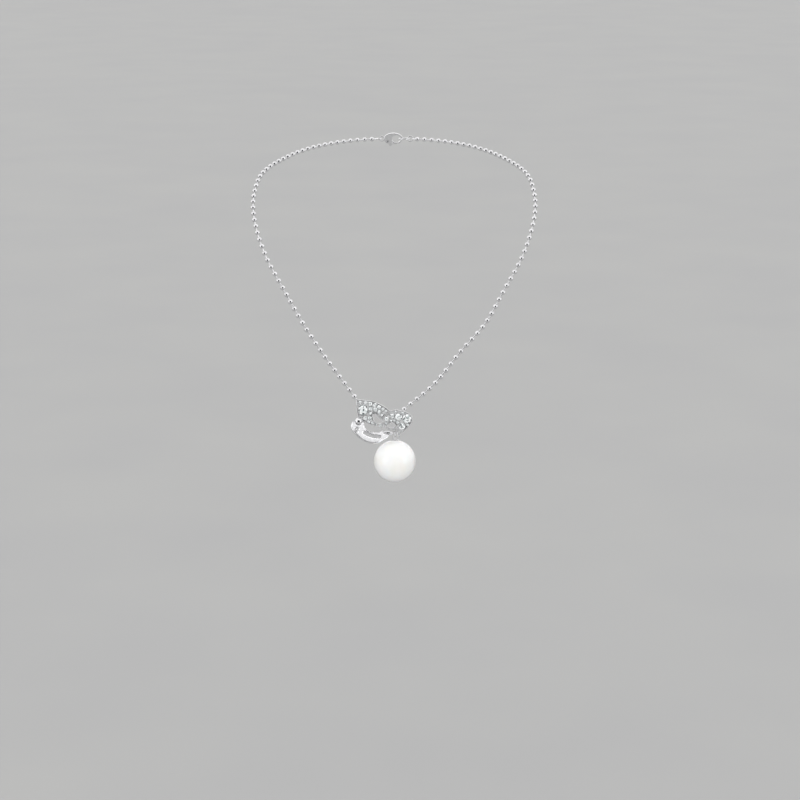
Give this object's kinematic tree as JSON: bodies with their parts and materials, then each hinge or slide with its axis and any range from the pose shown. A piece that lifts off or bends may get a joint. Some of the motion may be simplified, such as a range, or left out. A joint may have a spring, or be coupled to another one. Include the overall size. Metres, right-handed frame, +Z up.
{
  "type": "pendant necklace",
  "caption": "Ball-chain necklace with a crystal-set butterfly pendant, a large hanging pearl and a lobster clasp, lying as worn round a neck.",
  "frame": {"origin": "the nape: middle of the clasp at the back of the loop", "axes": "+X the viewer's right, -Y from the wearer to the viewer, +Z up, chain lying as worn"},
  "size_m": [0.138, 0.1432, 0.1463],
  "materials": {
    "chain_silver": "polished, silver-coloured plating",
    "silver": "bright polished silver-coloured plating",
    "steel": "plain drawn wire",
    "crystal": "clear cut glass, foiled back",
    "pearl": "glossy pearl coating with a soft sheen"
  },
  "bodies": {
    "nape": {"chain_left_nape": "chain_silver", "chain_left_shoulder": "chain_silver", "chain_right_nape": "chain_silver", "chain_right_shoulder": "chain_silver", "link_left": "silver", "link_right": "silver", "jump_ring": "silver"},
    "clasp": {"clasp_body": "silver", "clasp_pin": "steel", "clasp_spring": "steel"},
    "clasp_lever": {"clasp_lever": "silver"},
    "chain_upper": {"chain_left_upper": "chain_silver", "chain_right_upper": "chain_silver"},
    "chain_middle": {"chain_left_middle": "chain_silver", "chain_right_middle": "chain_silver"},
    "chain_lower": {"chain_left_lower": "chain_silver", "chain_right_lower": "chain_silver"},
    "butterfly": {"forewing": "silver", "hindwing": "silver", "lower_wing": "silver", "butterfly_body": "silver", "head_ball": "silver", "forewing_crystal": "crystal", "forewing_stone_01": "crystal", "forewing_stone_02": "crystal", "forewing_stone_03": "crystal", "forewing_stone_04": "crystal", "forewing_stone_05": "crystal", "forewing_stone_06": "crystal", "forewing_stone_07": "crystal", "forewing_stone_08": "crystal", "forewing_stone_09": "crystal", "forewing_stone_10": "crystal", "forewing_stone_11": "crystal", "forewing_stone_12": "crystal", "forewing_stone_13": "crystal", "forewing_stone_14": "crystal", "forewing_stone_15": "crystal", "forewing_stone_16": "crystal", "forewing_stone_17": "crystal", "forewing_stone_18": "crystal", "hindwing_stone_01": "crystal", "hindwing_stone_02": "crystal", "hindwing_stone_03": "crystal", "hindwing_stone_04": "crystal", "hindwing_stone_05": "crystal", "hindwing_stone_06": "crystal", "hindwing_stone_07": "crystal", "hindwing_stone_08": "crystal", "hindwing_stone_09": "crystal", "hindwing_stone_10": "crystal", "hindwing_stone_11": "crystal", "hindwing_stone_12": "crystal"},
    "pearl_ring": {"pearl_ring": "silver"},
    "pearl_drop": {"pearl_cap": "silver", "pearl": "pearl"}
  },
  "joints": [
    {"name": "shoulder_swing", "type": "hinge", "parent": "nape", "child": "chain_upper", "pos_m": [0.0002, -0.06568, -0.01466], "axis": [-0.9997, 0.0198, 0.0118], "range_deg": [0, 50]},
    {"name": "middle_bend", "type": "hinge", "parent": "chain_upper", "child": "chain_middle", "pos_m": [-0.00059, -0.09808, -0.04512], "axis": [-0.9998, 0.0111, 0.0176], "range_deg": [0, 25]},
    {"name": "lower_bend", "type": "hinge", "parent": "chain_middle", "child": "chain_lower", "pos_m": [0.00013, -0.11278, -0.07682], "axis": [-0.9998, -0.0046, -0.0201], "range_deg": [0, 25]},
    {"name": "pendant_swing", "type": "hinge", "parent": "chain_lower", "child": "butterfly", "pos_m": [-0.0069, -0.12228, -0.10734], "axis": [-0.9669, -0.0022, 0.2551], "range_deg": [0, 60]},
    {"name": "ring_swing", "type": "hinge", "parent": "butterfly", "child": "pearl_ring", "pos_m": [0.00035, -0.12712, -0.12134], "axis": [-1, 0, 0], "range_deg": [0, 9]},
    {"name": "pearl_sway", "type": "hinge", "parent": "pearl_ring", "child": "pearl_drop", "pos_m": [0.00035, -0.1275, -0.12276], "axis": [0, -0.9659, 0.2588], "range_deg": [-4, 12]},
    {"name": "clasp_roll", "type": "hinge", "parent": "nape", "child": "clasp", "pos_m": [0, 0, 0], "axis": [1, 0, 0], "range_deg": [-20, 20]},
    {"name": "lever_open", "type": "hinge", "parent": "clasp", "child": "clasp_lever", "pos_m": [-0.00355, 0, -0.00125], "axis": [0, -1, 0], "range_deg": [0, 20], "stiffness_Nm_per_rad": 0.0005, "springref_deg": -17.19, "deforming": ["clasp_spring"]}
  ]
}
